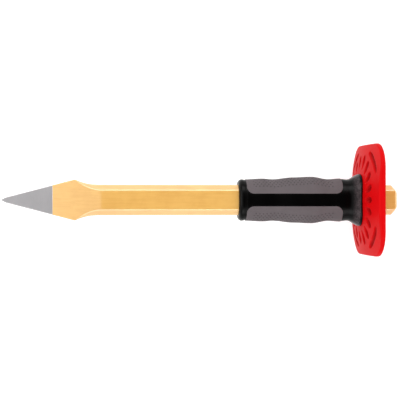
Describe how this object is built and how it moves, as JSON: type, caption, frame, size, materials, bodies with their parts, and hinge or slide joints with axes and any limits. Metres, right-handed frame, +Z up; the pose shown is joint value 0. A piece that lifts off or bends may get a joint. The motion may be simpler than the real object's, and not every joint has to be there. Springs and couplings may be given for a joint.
{
  "type": "cold chisel",
  "caption": "Pointed cold chisel forged from flat-octagon bar, with a push-on moulded grip, soft side pads and a dished square hand guard below the striking head.",
  "frame": {"origin": "middle of the striking face, on the bar's own axis", "axes": "+X along the bar out of the striking face, so the point is at -X; +Y across the bar's wide faces; +Z up out of a wide face"},
  "size_m": [0.3, 0.085, 0.082],
  "materials": {
    "lacquered_steel": "gold lacquer over forged steel, bare ground point",
    "black_moulding": "satin black",
    "grey_soft_pad": "fine matt grain",
    "red_moulding": "satin red"
  },
  "bodies": {
    "bar": {"chisel_bar": "lacquered_steel"},
    "grip": {"grip_sleeve": "black_moulding", "left_grip_pad": "grey_soft_pad", "right_grip_pad": "grey_soft_pad", "hand_guard": "red_moulding"}
  },
  "joints": [
    {"name": "grip_slide", "type": "slide", "parent": "bar", "child": "grip", "axis": [1, 0, 0], "range_m": [-0.1, 0.125]}
  ]
}
